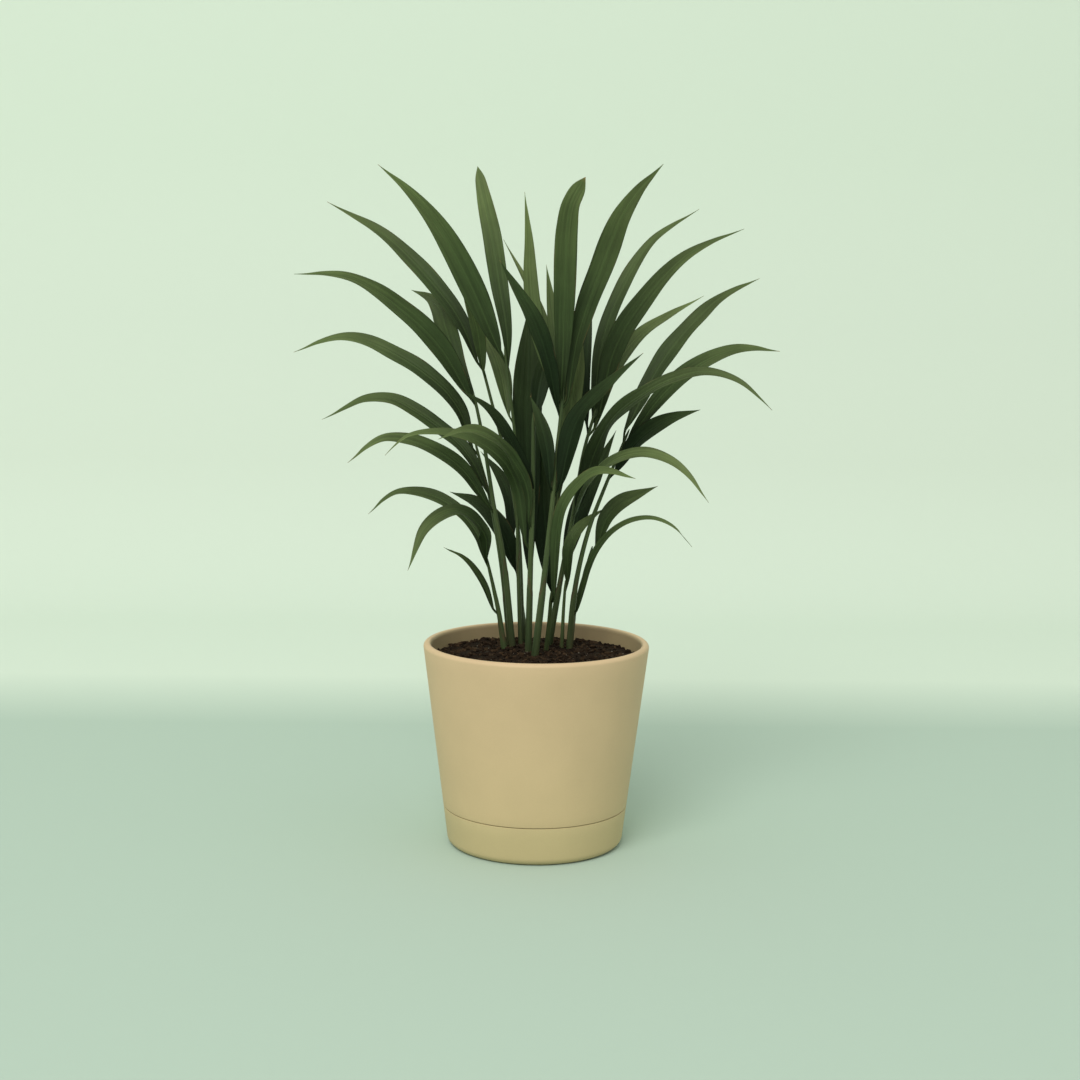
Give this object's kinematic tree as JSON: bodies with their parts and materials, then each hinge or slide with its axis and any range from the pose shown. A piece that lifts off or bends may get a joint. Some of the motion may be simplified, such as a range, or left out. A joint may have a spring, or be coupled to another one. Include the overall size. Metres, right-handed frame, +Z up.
{
  "type": "potted palm",
  "caption": "Young areca-type palm clump with arching strap leaflets on slender petioles, in a tapered round pot standing in a flush saucer.",
  "frame": {"origin": "centre of the saucer's flat underside, on the surface that the pot stands on", "axes": "+Z up, along the axis of the pot; +X to the right and -Y to the front, the side seen in the reference view"},
  "size_m": [0.301, 0.158, 0.419],
  "materials": {
    "pot": "matte",
    "saucer": "matte",
    "soil": "matte",
    "petiole": "satin",
    "leaflet_light": "satin",
    "leaflet_mid": "satin",
    "leaflet_dark": "satin"
  },
  "bodies": {
    "root": {"saucer": "saucer", "pot": "pot", "potting_soil": "soil", "low_left_petiole": "petiole", "low_left_leaflet_1": "leaflet_mid", "low_left_leaflet_2": "leaflet_mid", "low_left_leaflet_3": "leaflet_mid", "far_left_petiole": "petiole", "far_left_leaflet_1": "leaflet_mid", "far_left_leaflet_2": "leaflet_mid", "far_left_leaflet_3": "leaflet_mid", "far_left_leaflet_4": "leaflet_mid", "middle_left_petiole": "petiole", "middle_left_leaflet_1": "leaflet_mid", "back_left_petiole": "petiole", "back_left_leaflet_1": "leaflet_mid", "back_left_leaflet_2": "leaflet_light", "tall_left_petiole": "petiole", "tall_left_leaflet_1": "leaflet_mid", "tall_left_leaflet_2": "leaflet_mid", "tall_left_leaflet_3": "leaflet_light", "front_petiole": "petiole", "front_leaflet_1": "leaflet_mid", "front_leaflet_2": "leaflet_mid", "front_leaflet_3": "leaflet_dark", "front_leaflet_4": "leaflet_dark", "front_leaflet_5": "leaflet_dark", "inner_left_petiole": "petiole", "inner_left_leaflet_1": "leaflet_dark", "inner_left_leaflet_2": "leaflet_dark", "tall_centre_petiole": "petiole", "tall_centre_leaflet_1": "leaflet_mid", "tall_centre_leaflet_2": "leaflet_mid", "tall_centre_leaflet_3": "leaflet_dark", "tall_centre_leaflet_4": "leaflet_light", "tall_centre_leaflet_5": "leaflet_mid", "tall_centre_leaflet_6": "leaflet_light", "tall_centre_leaflet_7": "leaflet_light", "tall_centre_leaflet_8": "leaflet_dark", "tall_centre_leaflet_9": "leaflet_dark", "tall_right_petiole": "petiole", "tall_right_leaflet_1": "leaflet_mid", "tall_right_leaflet_2": "leaflet_mid", "tall_right_leaflet_3": "leaflet_light", "tall_right_leaflet_4": "leaflet_dark", "tall_right_leaflet_5": "leaflet_mid", "tall_right_leaflet_6": "leaflet_light", "tall_right_leaflet_7": "leaflet_dark", "tall_right_leaflet_8": "leaflet_dark", "front_right_petiole": "petiole", "front_right_leaflet_1": "leaflet_mid", "inner_right_petiole": "petiole", "inner_right_leaflet_1": "leaflet_mid", "right_petiole": "petiole", "right_leaflet_1": "leaflet_mid", "right_leaflet_2": "leaflet_mid", "right_leaflet_3": "leaflet_dark", "right_leaflet_4": "leaflet_mid", "low_right_petiole": "petiole", "low_right_leaflet_1": "leaflet_mid"}
  },
  "joints": []
}
